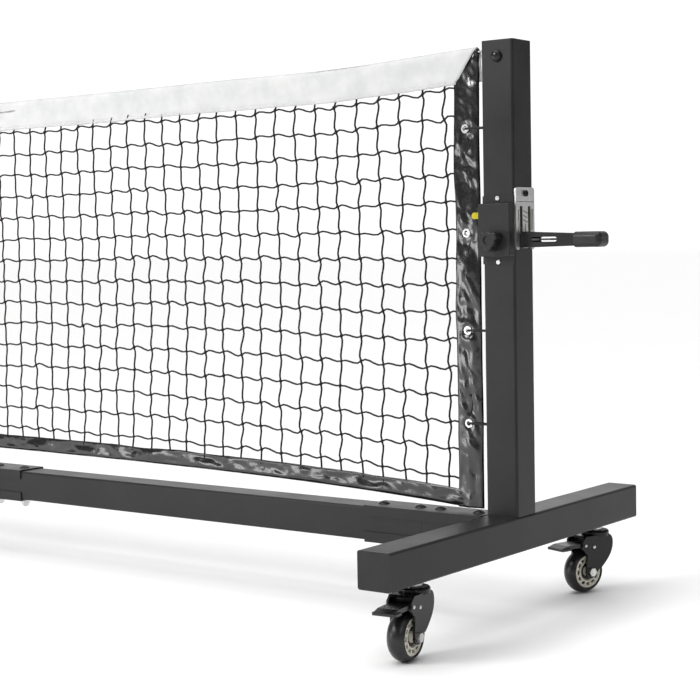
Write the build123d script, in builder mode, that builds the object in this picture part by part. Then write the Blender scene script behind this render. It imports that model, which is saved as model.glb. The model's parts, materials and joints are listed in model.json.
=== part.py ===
from build123d import *
import math
import os

# Portable pickleball net on two wheeled foot beams.
# Millimetres, +Z up, floor at z = 0. X runs along the net, Y across it.
# The right-hand post (+X) carries the ratchet winch; the left-hand post anchors the cable.

os.makedirs("parts", exist_ok=True)

# ---------------------------------------------------------------- driving dimensions
tube = 57.0  # square steel tube of the posts, foot beams and base
wall = 2.0
corner = 4.0
inside_span = 6706.0  # 22 ft between the posts' inner faces
net_length = 6662.0
foot_length = 750.0
caster_height = 115.0  # floor to the underside of a foot beam
base_drop = 6.0  # the base tubes sit this much lower than the foot beams
post_top = 914.5
cap_thickness = 2.5
lever_reach = 142.0  # lever tip beyond the post's outer face

net_top_at_post = 914.0  # 36 in
net_top_at_middle = 864.0  # 34 in
headband_height = 56.0
band_width = 44.0
bottom_at_post = 176.0
bottom_at_middle = 206.0
bottom_band_height = 28.0

stub_length = 126.5  # foot beam's inner face to the first base joint
base_sections = 6
splice_length = 229.0
splice_plate = 2.5
splice_lip = 15.0
bolt_offsets = (20.0, 94.0)  # from each base joint

winch_z = 607.0
pulley_z = 892.0

# ---------------------------------------------------------------- worked-out places
half = tube / 2
net_x = -lever_reach / 2  # middle of the net, so that the whole box is centred on X = 0
post_offset = inside_span / 2 + half
right_x = net_x + post_offset
left_x = net_x - post_offset
net_half = net_length / 2
foot_z = caster_height + half
foot_top = caster_height + tube
base_z = foot_z - base_drop
seam_first = post_offset - half - stub_length
section_length = 2 * seam_first / base_sections
seam_places = [net_x - seam_first + section_length * i for i in range(base_sections + 1)]
bolt_places = [seam + side * gap for seam in seam_places for side in (-1, 1) for gap in bolt_offsets]
caster_y = 275.0
caster_places = [  # x, y, swivel angle as it stands
    (right_x, -caster_y, 6.0),
    (right_x, caster_y, -19.0),
    (left_x, -caster_y, 4.0),
    (left_x, caster_y, 14.0),
]


def save(builder, name):
    """Label a finished sub-part and write it as a STEP file."""
    builder.part.label = name
    export_step(builder.part, f"parts/{name}.step")


def front_plane(x, y, z):
    """Plane facing -Y at a point, with its own x along +X and its own y along +Z."""
    return Plane(origin=(x, y, z), x_dir=(1, 0, 0), z_dir=(0, -1, 0))


def side_plane(x, y, z):
    """Plane facing +X at a point, with its own x along +Y and its own y along +Z."""
    return Plane(origin=(x, y, z), x_dir=(0, 1, 0), z_dir=(1, 0, 0))


def tube_section():
    """Hollow square section with rounded corners, drawn in the sketch in hand."""
    RectangleRounded(tube, tube, corner)
    RectangleRounded(tube - 2 * wall, tube - 2 * wall, corner - wall, mode=Mode.SUBTRACT)


def drill_along_y(x, z, radius, reach):
    """Drill a round hole along Y right through the part in hand."""
    with BuildSketch(front_plane(x, 0, z)) as hole:
        Circle(radius)
    extrude(hole.sketch, amount=reach, both=True, mode=Mode.SUBTRACT)


def dome_arc(radius, height, z):
    """Arc of a spherical cap on the Z axis, in the (radius, z) plane; height below 0 hangs it down."""
    ball = (radius**2 + height**2) / (2 * abs(height))
    way = math.copysign(1, height)
    half_turn = math.asin(radius / ball) / 2
    middle = (ball * math.sin(half_turn), z + height - way * ball * (1 - math.cos(half_turn)))
    ThreePointArc((radius, z), middle, (0, z + height))


# ================================================================= foot beams
stem_hole_r = 6.2
plug_flange = 3.0
plug_depth = 14.0
plug_wall = 2.5


def make_foot_beam(x, name):
    with BuildPart() as beam:
        with BuildSketch(front_plane(x, 0, foot_z)):
            tube_section()
        extrude(amount=foot_length / 2 - plug_flange, both=True)
        with BuildSketch(Plane.XY.offset(caster_height - 1)):
            with Locations((x, -caster_y), (x, caster_y)):
                Circle(stem_hole_r)
        extrude(amount=wall + 2, mode=Mode.SUBTRACT)
    save(beam, name)


make_foot_beam(right_x, "foot_beam_right")
make_foot_beam(left_x, "foot_beam_left")

with BuildPart() as foot_end_plugs:
    for x in (left_x, right_x):
        for side in (-1, 1):
            outer = front_plane(x, side * foot_length / 2, foot_z)
            with BuildSketch(outer):
                RectangleRounded(tube, tube, corner)
            extrude(amount=side * plug_flange)
            with BuildSketch(front_plane(x, side * (foot_length / 2 - plug_flange), foot_z)):
                RectangleRounded(tube - 2 * wall, tube - 2 * wall, corner - wall)
                inner = tube - 2 * wall - 2 * plug_wall
                Rectangle(inner, inner, mode=Mode.SUBTRACT)
            extrude(amount=side * plug_depth)
save(foot_end_plugs, "foot_end_plugs")

# ================================================================= base: stubs, tubes, splices
bolt_r = 5.0
bolt_clearance = 0.2


def make_base_run(start, end):
    """One straight length of base tube along X, added to the part in hand."""
    with BuildSketch(side_plane(start, 0, base_z)) as section:
        tube_section()
    extrude(section.sketch, amount=end - start)


def drill_base(places, height):
    """Bolt holes down through the base at each place."""
    with BuildSketch(Plane.XY.offset(base_z - height)) as holes:
        with Locations(*[(x, 0) for x in places]):
            Circle(bolt_r + bolt_clearance)
    extrude(holes.sketch, amount=2 * height, mode=Mode.SUBTRACT)


with BuildPart() as base_stubs:
    make_base_run(left_x + half, seam_places[0])
    make_base_run(seam_places[-1], right_x - half)
    drill_base([seam_places[0] - gap for gap in bolt_offsets], half + 1)
    drill_base([seam_places[-1] + gap for gap in bolt_offsets], half + 1)
save(base_stubs, "base_stubs")

seam_gap = 0.4
with BuildPart() as base_tubes:
    for start, end in zip(seam_places[:-1], seam_places[1:]):
        make_base_run(start + seam_gap, end - seam_gap)
        holes = [start + gap for gap in bolt_offsets] + [end - gap for gap in bolt_offsets]
        drill_base(holes, half + 1)
save(base_tubes, "base_tubes")


def make_splice_channels(side, name):
    """One U channel over (side 1) or under (side -1) each joint of the base."""
    with BuildPart() as channels:
        for seam in seam_places:
            with BuildSketch(side_plane(seam, 0, base_z)):
                depth = splice_plate + splice_lip
                with Locations((0, side * (half + splice_plate - depth / 2))):
                    Rectangle(tube + 2 * splice_plate, depth)
                with Locations((0, side * (half - splice_lip / 2))):
                    Rectangle(tube, splice_lip, mode=Mode.SUBTRACT)
            extrude(amount=splice_length / 2, both=True)
        drill_base(bolt_places, half + splice_plate + 1)
    save(channels, name)


make_splice_channels(1, "splice_channels_upper")
make_splice_channels(-1, "splice_channels_lower")

bolt_head_r = 11.0
bolt_head_h = 5.0
splice_top = base_z + half + splice_plate
splice_bottom = base_z - half - splice_plate
nut_flats = 16.0
nut_h = 9.0
nut_dome_r, nut_dome_h = 7.4, 6.8
with BuildPart() as bolt:
    with BuildSketch(Plane.XY.offset(splice_bottom - nut_h)):
        Circle(bolt_r)
    extrude(amount=splice_top - splice_bottom + nut_h)
    with BuildSketch(Plane.XZ):
        with BuildLine():
            Line((0, splice_top), (bolt_head_r, splice_top))
            dome_arc(bolt_head_r, bolt_head_h, splice_top)
            Line((0, splice_top + bolt_head_h), (0, splice_top))
        make_face()
    revolve(axis=Axis.Z)
with BuildPart() as splice_bolts:
    with Locations(*[(x, 0, 0) for x in bolt_places]):
        add(bolt.part)
save(splice_bolts, "splice_bolts")

with BuildPart() as nut:
    with BuildSketch(Plane.XY.offset(splice_bottom - nut_h)):
        RegularPolygon(nut_flats / 2, 6, major_radius=False)
        Circle(bolt_r, mode=Mode.SUBTRACT)
    extrude(amount=nut_h)
    dome_z = splice_bottom - nut_h
    with BuildSketch(Plane.XZ):
        with BuildLine():
            Line((0, dome_z), (nut_dome_r, dome_z))
            dome_arc(nut_dome_r, -nut_dome_h, dome_z)
            Line((0, dome_z - nut_dome_h), (0, dome_z))
        make_face()
    revolve(axis=Axis.Z)
with BuildPart() as splice_nuts:
    with Locations(*[(x, 0, 0) for x in bolt_places]):
        add(nut.part)
save(splice_nuts, "splice_nuts")

# ================================================================= posts and caps
cable_r = 2.0
pulley_groove_r = 12.0
wrap_r = pulley_groove_r + cable_r + 0.1  # cable centreline round the pulley
top_bolt_r = 4.0
shaft_r = 6.0
window_low, window_high, window_half = -13.0, 52.0, 18.4  # about the winch axis
tail_z = 646.0
cover_screw_r = 2.0
screw_z = (672.0, 572.5)
frame_screw_z = 679.0


def add_post_tube(x):
    with BuildSketch(Plane(origin=(x, 0, foot_top))) as section:
        tube_section()
    extrude(section.sketch, amount=post_top - foot_top)


def cut_wall(x, z, width, height):
    """Cut a window through one X-facing wall of the post in hand."""
    with BuildSketch(side_plane(x, 0, z)) as window:
        Rectangle(width, height)
    extrude(window.sketch, amount=wall + 1, both=True, mode=Mode.SUBTRACT)


cable_slot = (10.0, 14.0)
with BuildPart() as post_right:
    add_post_tube(right_x)
    cut_wall(right_x - half, pulley_z + wrap_r, *cable_slot)
    cut_wall(right_x - half, tail_z, 34, 16)
    window_z = winch_z + (window_low + window_high) / 2
    cut_wall(right_x + half, window_z, 2 * window_half, window_high - window_low)
    drill_along_y(right_x, pulley_z, top_bolt_r + 0.1, tube)
    with BuildSketch(front_plane(right_x, -half, winch_z)):
        Circle(shaft_r + 2)
        with Locations((0, screw_z[0] - winch_z), (0, screw_z[1] - winch_z)):
            Circle(cover_screw_r)
    extrude(amount=wall + 1, both=True, mode=Mode.SUBTRACT)
    with BuildSketch(side_plane(right_x + half, 0, frame_screw_z)):
        Circle(3)
    extrude(amount=wall + 1, both=True, mode=Mode.SUBTRACT)
save(post_right, "post_right")

with BuildPart() as post_left:
    add_post_tube(left_x)
    cut_wall(left_x + half, pulley_z + wrap_r, *cable_slot)
    drill_along_y(left_x, pulley_z, top_bolt_r + 0.1, tube)
save(post_left, "post_left")

with BuildPart() as post_caps:
    for x in (left_x, right_x):
        with BuildSketch(Plane(origin=(x, 0, post_top))):
            RectangleRounded(tube, tube, corner)
        extrude(amount=cap_thickness)
        with BuildSketch(Plane(origin=(x, 0, post_top))):
            RectangleRounded(tube - 2 * wall, tube - 2 * wall, corner - wall)
            Rectangle(tube - 2 * wall - 6, tube - 2 * wall - 6, mode=Mode.SUBTRACT)
        extrude(amount=-3)
save(post_caps, "post_caps")

# ================================================================= top pulley, saddle, bolts
pulley_r = 14.5
pulley_half = 5.0


def draw_sheave(bore):
    """Half section of a grooved wheel about the Y axis, in the (radius, y) plane."""
    with BuildLine() as outline:
        Polyline(
            (bore, -pulley_half), (pulley_r, -pulley_half), (pulley_groove_r, -cable_r + 0.5),
            (pulley_groove_r, cable_r - 0.5), (pulley_r, pulley_half), (bore, pulley_half),
            close=True,
        )
    make_face(outline.edges())


def make_sheave(x, bore, name):
    with BuildPart() as sheave:
        with BuildSketch(Plane(origin=(x, 0, pulley_z), x_dir=(1, 0, 0), z_dir=(0, 0, 1))):
            draw_sheave(bore)
        revolve(axis=Axis((x, 0, pulley_z), (0, 1, 0)))
    save(sheave, name)


make_sheave(right_x, top_bolt_r + 0.05, "top_pulley")
make_sheave(left_x, top_bolt_r, "cable_saddle")

dome_r = 9.0
with BuildPart() as post_top_bolts:
    for x in (left_x, right_x):
        with BuildSketch(front_plane(x, -half, pulley_z)):
            Circle(top_bolt_r)
        extrude(amount=-(tube + 6))
        with BuildSketch(front_plane(x, -half, pulley_z)):
            Circle(dome_r)
        extrude(amount=5, taper=24)
        with BuildSketch(front_plane(x, half, pulley_z)):
            RegularPolygon(6.5, 6, major_radius=False)
        extrude(amount=-6.5)
save(post_top_bolts, "post_top_bolts")

# ================================================================= headline cable
sag = net_top_at_post - net_top_at_middle
sag_angle = math.degrees(4 * sag / (2 * post_offset))
strap_join_z = 830.0
link_height = 26.0
anchor_z = 846.0


def on_sheave(x, angle):
    return (
        x + wrap_r * math.cos(math.radians(angle)),
        pulley_z + wrap_r * math.sin(math.radians(angle)),
    )


leave_right = on_sheave(right_x, 90 + sag_angle)
leave_left = on_sheave(left_x, 90 - sag_angle)
cable_middle = (net_x, (leave_right[1] + leave_left[1]) / 2 - sag)
with BuildPart() as headline_cable:
    with BuildLine(Plane.XZ) as cable_route:
        Line((right_x + wrap_r, strap_join_z + 6), (right_x + wrap_r, pulley_z))
        CenterArc((right_x, pulley_z), wrap_r, 0, 90 + sag_angle)
        ThreePointArc(leave_right, cable_middle, leave_left)
        CenterArc((left_x, pulley_z), wrap_r, 90 - sag_angle, 90 + sag_angle)
        Line((left_x - wrap_r, pulley_z), (left_x - wrap_r, anchor_z))
    with BuildSketch(Plane(origin=(right_x + wrap_r, 0, strap_join_z + 6))):
        Circle(cable_r)
    sweep(path=cable_route.wire())
save(headline_cable, "headline_cable")

with BuildPart() as cable_anchor:
    anchor_back = left_x - half + wall
    with BuildSketch(Plane.XY.offset(anchor_z - 24)):
        with Locations(((anchor_back + left_x - wrap_r + 8) / 2, 0)):
            Rectangle(left_x - wrap_r + 8 - anchor_back, 16)
    extrude(amount=34)
    with BuildSketch(Plane.XY.offset(anchor_z)):
        with Locations((left_x - wrap_r, 0)):
            Circle(cable_r)
    extrude(amount=20, mode=Mode.SUBTRACT)
save(cable_anchor, "cable_anchor")

# ================================================================= ratchet winch
strap_width = 20.0
strap_thickness = 1.6
roll_r = wrap_r - strap_thickness / 2 - 0.3
wheel_inner, wheel_outer = 10.5, 13.0  # |y| of each ratchet wheel
cheek_inner, cheek_outer = 13.4, 15.6  # |y| of the lever's cheeks
frame_inner, frame_outer = 16.0, 18.2  # |y| of the fixed cheeks
tooth_tip_r, tooth_root_r, teeth = 22.0, 18.0, 12
frame_plate = 3.0
frame_bottom, frame_top = 591.5, 688.5
tongue_half = 8.4  # the plate between the two slots that the lever's cheeks swing in


def mirrored_plates(x, z, inner, outer, draw):
    """Two matching plates facing +Y and -Y, each drawn by draw() about (x, z)."""
    for side in (-1, 1):
        with BuildSketch(front_plane(x, side * inner, z)) as plate:
            draw()
        extrude(plate.sketch, amount=-side * (outer - inner))


def draw_frame_cheek():
    with Locations((6.25, -8)):
        Rectangle(44.5, 56)
    Circle(shaft_r + 0.05, mode=Mode.SUBTRACT)
    with Locations((0, -30.5)):
        Rectangle(5.6, 17, mode=Mode.SUBTRACT)


with BuildPart() as ratchet_frame:
    with BuildSketch(side_plane(right_x + half, 0, (frame_bottom + frame_top) / 2)):
        RectangleRounded(tube - 1, frame_top - frame_bottom, 5)
    extrude(amount=frame_plate)
    mirrored_plates(right_x, winch_z, frame_inner, frame_outer, draw_frame_cheek)
    with BuildSketch(side_plane(right_x + half, 0, window_z)):
        Rectangle(2 * frame_inner, window_high - window_low)
        Rectangle(2 * tongue_half, window_high - window_low, mode=Mode.SUBTRACT)
        with Locations((0, frame_screw_z - window_z)):
            Circle(3.1)
    extrude(amount=frame_plate + 1, both=True, mode=Mode.SUBTRACT)
    with BuildSketch(front_plane(right_x + half + frame_plate, 0, winch_z - 26)):
        Rectangle(2 * frame_plate + 2 * wall + 2, 26)
    extrude(amount=frame_outer + 1, both=True, mode=Mode.SUBTRACT)
save(ratchet_frame, "ratchet_frame")

with BuildPart() as ratchet_frame_screw:
    outside = right_x + half + frame_plate
    with BuildSketch(side_plane(outside, 0, frame_screw_z)):
        Circle(2.95)
    extrude(amount=-(frame_plate + wall + 5))
    with BuildSketch(side_plane(outside, 0, frame_screw_z)):
        Circle(5)
    extrude(amount=3)
    with BuildSketch(side_plane(outside + 1, 0, frame_screw_z)):
        RegularPolygon(2.5, 6, major_radius=False)
    extrude(amount=3, mode=Mode.SUBTRACT)
save(ratchet_frame_screw, "ratchet_frame_screw")

knob_back, knob_depth = -45.2, 18.0
with BuildPart() as spool_shaft:
    with BuildSketch(front_plane(right_x, frame_outer + 2.5, winch_z)):
        Circle(shaft_r)
    extrude(amount=frame_outer + 2.5 - knob_back)
    with BuildSketch(front_plane(right_x, wheel_inner - 0.2, winch_z)):
        Circle(10)
        Rectangle(24, 3, mode=Mode.SUBTRACT)
    extrude(amount=2 * (wheel_inner - 0.2))
save(spool_shaft, "spool_shaft")


def draw_ratchet_wheel():
    step = 360 / teeth
    points = []
    for i in range(teeth):
        for radius, angle in ((tooth_root_r, i * step), (tooth_tip_r, i * step + 2)):
            turn = math.radians(angle)
            points.append((radius * math.cos(turn), radius * math.sin(turn)))
    with BuildLine() as outline:
        Polyline(*points, close=True)
    make_face(outline.edges())
    Circle(shaft_r, mode=Mode.SUBTRACT)


with BuildPart() as ratchet_wheels:
    mirrored_plates(right_x, winch_z, wheel_inner, wheel_outer, draw_ratchet_wheel)
save(ratchet_wheels, "ratchet_wheels")

with BuildPart() as strap_roll:
    with BuildSketch(front_plane(right_x, 0, winch_z)):
        Circle(roll_r)
        Circle(10.1, mode=Mode.SUBTRACT)
    extrude(amount=strap_width / 2, both=True)
save(strap_roll, "strap_roll")

with BuildPart() as winch_knob:
    with BuildSketch(front_plane(right_x, knob_back, winch_z)):
        Circle(13)
        with PolarLocations(10.5, 3, start_angle=30):
            Circle(7)
    extrude(amount=knob_depth)
    fillet(winch_knob.edges().group_by(Axis.Y)[0], 2)
    with BuildSketch(front_plane(right_x, knob_back - knob_depth, winch_z)):
        Circle(7)
    extrude(amount=-1.5, mode=Mode.SUBTRACT)
save(winch_knob, "winch_knob")

cover_depth, cover_wall = 15.0, 1.5
cover_top, cover_bottom = 664.0, 581.5
with BuildPart() as winch_cover:
    cover_middle = (cover_top + cover_bottom) / 2
    with BuildSketch(front_plane(right_x, -half, cover_middle)):
        Rectangle(tube, cover_top - cover_bottom)
    extrude(amount=cover_depth)
    fillet(winch_cover.edges().filter_by(Axis.Y), 2.5)
    fillet(winch_cover.edges().group_by(Axis.Y)[0], 1.2)
    with BuildSketch(front_plane(right_x, -half, cover_middle)):
        Rectangle(tube - 2 * cover_wall, cover_top - cover_bottom - 2 * cover_wall)
    extrude(amount=cover_depth - cover_wall, mode=Mode.SUBTRACT)
    tab_height = 12.0
    with BuildSketch(front_plane(right_x, -half, cover_middle)):
        reach = (cover_top - cover_bottom + tab_height) / 2
        with Locations((0, reach - 0.5), (0, -reach + 0.5)):
            Rectangle(tube - 1, tab_height + 1)
        Rectangle(tube - 2 * cover_wall, cover_top - cover_bottom - 2 * cover_wall, mode=Mode.SUBTRACT)
        with Locations((0, screw_z[0] - cover_middle), (0, screw_z[1] - cover_middle)):
            Circle(cover_screw_r, mode=Mode.SUBTRACT)
    extrude(amount=cover_wall)
    with BuildSketch(front_plane(right_x, -half - cover_depth, winch_z)):
        Circle(shaft_r + 0.3)
    extrude(amount=-2 * cover_wall, mode=Mode.SUBTRACT)
save(winch_cover, "winch_cover")

with BuildPart() as winch_cover_screws:
    for z in screw_z:
        with BuildSketch(front_plane(right_x, -half - cover_wall, z)):
            Circle(cover_screw_r)
        extrude(amount=-8)
        with BuildSketch(front_plane(right_x, -half - cover_wall, z)):
            Circle(4)
        extrude(amount=1.8, taper=20)
save(winch_cover_screws, "winch_cover_screws")

# ---- lever: two cheeks round the shaft, a web along the top, a rubber grip
grip_start = 125.5
lever_tip = half + lever_reach
arm_end = lever_tip - 12
arm_half_z = 12.4
web_start = 52.0  # far enough out to clear the plate with the lever raised
shoulder = half + frame_plate + 2
slot_start, slot_end = 50.0, 96.0


def draw_lever_cheek():
    with BuildLine() as outline:
        Polyline(
            (0, arm_half_z), (shoulder, arm_half_z), (grip_start, 8.6), (arm_end, 8.0),
            (arm_end, -9.0), (grip_start, -10.4), (shoulder, -arm_half_z), (0, -arm_half_z),
            close=True,
        )
    make_face(outline.edges())
    Circle(arm_half_z)
    Circle(shaft_r + 0.05, mode=Mode.SUBTRACT)
    with Locations(((slot_start + slot_end) / 2, 0)):
        SlotOverall(slot_end - slot_start, 7.6, mode=Mode.SUBTRACT)


web_z = arm_half_z - (arm_half_z - 8.6) * (web_start - shoulder) / (grip_start - shoulder)
with BuildPart() as lever_arm:
    mirrored_plates(right_x, winch_z, cheek_inner, cheek_outer, draw_lever_cheek)
    with BuildSketch(front_plane(right_x, 0, winch_z)):
        with BuildLine():
            Polyline(
                (web_start, web_z), (grip_start, 8.6), (arm_end, 8.0),
                (arm_end, 5.6), (grip_start, 6.2), (web_start, web_z - 2.4),
                close=True,
            )
        make_face()
    extrude(amount=cheek_outer, both=True)
save(lever_arm, "lever_arm")

grip_wall = 2.2
with BuildPart() as lever_grip:
    grip_half_y = cheek_outer + grip_wall
    with BuildSketch(side_plane(right_x + grip_start, 0, winch_z - 1)):
        RectangleRounded(2 * grip_half_y, 24.0, 9)
    extrude(amount=lever_tip - grip_start)
    fillet(lever_grip.edges().group_by(Axis.X)[-1], 8)
    with BuildSketch(front_plane(right_x, 0, winch_z)):
        with BuildLine():
            Polyline(
                (grip_start, 8.6), (arm_end, 8.0), (arm_end, -9.0), (grip_start, -10.4),
                close=True,
            )
        make_face()
    extrude(amount=cheek_outer, both=True, mode=Mode.SUBTRACT)
save(lever_grip, "lever_grip")

pawl_tip_gap = 0.4
pawl_half = 1.5
with BuildPart() as lever_pawl:
    tip = tooth_tip_r + pawl_tip_gap
    with BuildSketch(Plane(origin=(right_x, 0, winch_z - pawl_half))):
        with BuildLine():
            Polyline(
                (tip, -wheel_outer), (84, -wheel_outer), (84, wheel_outer), (tip, wheel_outer),
                close=True,
            )
        make_face()
        with Locations((58, 0)):
            Rectangle(14, 2 * (cheek_outer - 0.3))
        with Locations((34, 0)):
            Rectangle(24.6, 2 * (wheel_inner - 1.5), mode=Mode.SUBTRACT)
    extrude(amount=2 * pawl_half)
save(lever_pawl, "lever_pawl")

with BuildPart() as holding_pawl:
    with BuildSketch(Plane(origin=(right_x, 0, winch_z - tooth_tip_r - pawl_tip_gap))):
        Rectangle(5.0, 2 * (frame_outer + 2))
    extrude(amount=-10)
save(holding_pawl, "holding_pawl")

# ---- webbing from the cable link down to the roll, and its tail out towards the net
tail_out = 32.0
tail_turn = 33.0  # degrees towards -Y, which takes it past the front of the net's end
tail_half = 5.0  # the webbing's end is folded over on itself and sewn
tail_start = right_x - half + wall + 4
with BuildPart() as strap_tail:
    with BuildSketch(Plane.XZ):
        with Locations((-tail_out / 2 - 3, 0)):
            RectangleRounded(tail_out + 6, 2 * tail_half, tail_half - 1)
    extrude(amount=strap_width / 2, both=True)
with BuildPart() as tension_strap:
    with BuildSketch(Plane(origin=(right_x + wrap_r, 0, winch_z))):
        Rectangle(strap_thickness, strap_width)
    extrude(amount=strap_join_z - winch_z)
    with BuildSketch(Plane.XZ):
        with BuildLine():
            FilletPolyline(
                (right_x - roll_r - 1.2, winch_z + 4),
                (right_x - roll_r - 2.4, tail_z),
                (tail_start - 2, tail_z),
                radius=3.5,
            )
        trace(line_width=strap_thickness)
    extrude(amount=strap_width / 2, both=True)
    with Locations(Location((tail_start, 0, tail_z), (0, 0, tail_turn))):
        add(strap_tail.part)
save(tension_strap, "tension_strap")

with BuildPart() as strap_link:
    with BuildSketch(Plane(origin=(right_x + wrap_r, 0, strap_join_z))):
        RectangleRounded(9, strap_width + 4, 2)
    extrude(amount=link_height)
    with BuildSketch(Plane(origin=(right_x + wrap_r, 0, strap_join_z + 6))):
        Circle(cable_r)
    extrude(amount=link_height, mode=Mode.SUBTRACT)
save(strap_link, "strap_link")

# ================================================================= net
band_thickness = 4.0
headband_thickness = 9.0
mesh_thickness = 3.0
apex_inset = 2.0
band_top_drop = 12.0  # the side bands stop below the cable
mitre = (band_width - apex_inset) / headband_height
grommet_inset = 26.0
grommet_r = 4.0
grommet_lip = 3.0
grommet_z = (785.0, 619.0, 463.0, 313.0)
tie_z = (785.0, 463.0, 313.0)
bottom_rise = [  # distance in from the net's end, share of the rise to the middle
    (300.0, 0.53),
    (1150.0, 0.93),
]


def bottom_points(lift, inset):
    """Points of a bottom edge, from the left end to the right end."""
    rise = bottom_at_middle - bottom_at_post
    left = [(net_x - net_half + inset, bottom_at_post + lift)]
    left += [(net_x - net_half + d, bottom_at_post + lift + share * rise) for d, share in bottom_rise]
    right = [(2 * net_x - x, z) for x, z in reversed(left)]
    return left + [(net_x, bottom_at_middle + lift)] + right


def top_arc(drop, inset):
    """The sagging line of the net's top, lowered by drop and stopping inset short of its ends."""
    ends = net_half - inset
    ThreePointArc(
        (net_x - ends, net_top_at_post - drop),
        (net_x, net_top_at_middle - drop),
        (net_x + ends, net_top_at_post - drop),
    )


channel_half = cable_r + 0.8
headband_cuts = 10
cuts_out = [net_length * (i + 0.5) / headband_cuts for i in range(headband_cuts // 2)]
with BuildPart() as cable_channel:
    with BuildSketch(Plane.XZ):
        with BuildLine():
            for x, z in ((left_x, leave_left[1]), (right_x, leave_right[1])):
                Line((x, z + channel_half), (x, z - channel_half))
            for shift in (channel_half, -channel_half):
                ThreePointArc(
                    (left_x, leave_left[1] + shift),
                    (cable_middle[0], cable_middle[1] + shift),
                    (right_x, leave_right[1] + shift),
                )
        make_face()
    extrude(amount=channel_half, both=True)

with BuildPart() as net_headband:
    with BuildSketch(Plane.XZ):
        with BuildLine():
            top_arc(0, apex_inset)
            top_arc(headband_height, band_width)
            for side in (-1, 1):
                Line(
                    (net_x + side * (net_half - apex_inset), net_top_at_post),
                    (net_x + side * (net_half - band_width), net_top_at_post - headband_height),
                )
        make_face()
    extrude(amount=headband_thickness / 2, both=True)
    add(cable_channel.part, mode=Mode.SUBTRACT)
    # Narrow cuts part it into lengths, so that the collision hulls follow the sag.
    with BuildSketch(Plane.XZ):
        with Locations(*[(net_x + side * gap, net_top_at_middle) for side in (-1, 1) for gap in cuts_out]):
            Rectangle(seam_gap, 4 * headband_height)
    extrude(amount=headband_thickness, both=True, mode=Mode.SUBTRACT)
save(net_headband, "net_headband")


def make_side_band(side, name):
    def at(inset):
        return net_x + side * (net_half - inset)

    with BuildPart() as band:
        with BuildSketch(Plane.XZ):
            with BuildLine():
                Polyline(
                    (at(0), bottom_at_post),
                    (at(0), net_top_at_post - band_top_drop),
                    (at(apex_inset + mitre * band_top_drop), net_top_at_post - band_top_drop),
                    (at(band_width), net_top_at_post - headband_height),
                    (at(band_width), bottom_at_post),
                    close=True,
                )
            make_face()
            with Locations(*[(at(grommet_inset), z) for z in grommet_z]):
                Circle(grommet_r + 0.6, mode=Mode.SUBTRACT)
        extrude(amount=band_thickness / 2, both=True)
    save(band, name)


make_side_band(1, "net_side_band_right")
make_side_band(-1, "net_side_band_left")

with BuildPart() as net_bottom_band:
    with BuildSketch(Plane.XZ):
        with BuildLine():
            lower = Spline(*bottom_points(0, band_width))
            upper = Spline(*bottom_points(bottom_band_height, band_width))
            Line(lower @ 0, upper @ 0)
            Line(lower @ 1, upper @ 1)
        make_face()
    extrude(amount=band_thickness / 2, both=True)
save(net_bottom_band, "net_bottom_band")

with BuildPart() as net_mesh:
    with BuildSketch(Plane.XZ):
        with BuildLine():
            foot = Spline(*bottom_points(bottom_band_height, band_width))
            top_arc(headband_height, band_width)
            for side, end in ((-1, 0), (1, 1)):
                Line(
                    foot @ end,
                    (net_x + side * (net_half - band_width), net_top_at_post - headband_height),
                )
        make_face()
    extrude(amount=mesh_thickness / 2, both=True)
save(net_mesh, "net_mesh")

with BuildPart() as band_grommets:
    for side in (-1, 1):
        for z in grommet_z:
            x = net_x + side * (net_half - grommet_inset)
            with BuildSketch(front_plane(x, 0, z)):
                Circle(grommet_r + 0.6)
                Circle(grommet_r, mode=Mode.SUBTRACT)
            extrude(amount=band_thickness / 2 + 1, both=True)
            for face in (-1, 1):
                with BuildSketch(front_plane(x, face * band_thickness / 2, z)):
                    Circle(grommet_r + grommet_lip)
                    Circle(grommet_r, mode=Mode.SUBTRACT)
                extrude(amount=-face * 1.0)
save(band_grommets, "band_grommets")

# ---- cord ties through the grommets to eye hooks on the posts' inner faces
tie_r = 1.75
tie_spread = 5.0
eye_major, eye_minor = 5.5, 1.75
with BuildPart() as side_ties:
    for side in (-1, 1):
        for z in tie_z:
            near = net_x + side * (net_half - grommet_inset)
            far = net_x + side * (inside_span / 2 - eye_major - eye_minor)
            with BuildLine(Plane.XY.offset(z)) as loop:
                for y in (-tie_spread, tie_spread):
                    Line((near + side * tie_spread, y), (far - side * tie_spread, y))
                ThreePointArc((near + side * tie_spread, -tie_spread), (near, 0),
                              (near + side * tie_spread, tie_spread))
                ThreePointArc((far - side * tie_spread, -tie_spread), (far, 0),
                              (far - side * tie_spread, tie_spread))
            with BuildSketch(Plane(origin=(near, 0, z), x_dir=(1, 0, 0), z_dir=(0, 1, 0))):
                Circle(tie_r)
            sweep(path=loop.wire())
save(side_ties, "side_ties")

with BuildPart() as tie_hooks:
    for side in (-1, 1):
        for z in tie_z:
            face = net_x + side * inside_span / 2
            with Locations(Location((face - side * (eye_major + eye_minor), 0, z), (90, 0, 0))):
                Torus(eye_major, eye_minor)
            with BuildSketch(side_plane(face, 0, z)):
                Circle(3.4)
            extrude(amount=-side * 1.6)
save(tie_hooks, "tie_hooks")

# ================================================================= casters
wheel_r = 37.5
trail = 28.0
rim_r = 28.0
tyre_half, rim_half = 15.0, 12.5
crown_top, crown_height, crown_r = 106.0, 10.0, 24.0
leg_inner, leg_outer = 17.5, 21.0
axle_r = 4.0
axle_gap = 0.05
pedal_y, pedal_z, pedal_barrel_r, pedal_pin_r = -40.0, 84.0, 4.0, 2.0
pedal_length, pedal_half_width = 92.0, 20.0
king_r = 6.0
cowl_y, cowl_z = 14.0, 99.0
ear = 6.5  # leg round the pedal's pin
axle_axis = Axis((0, -trail, wheel_r), (1, 0, 0))
wheel_plane = front_plane(0, -trail, wheel_r)

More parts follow.
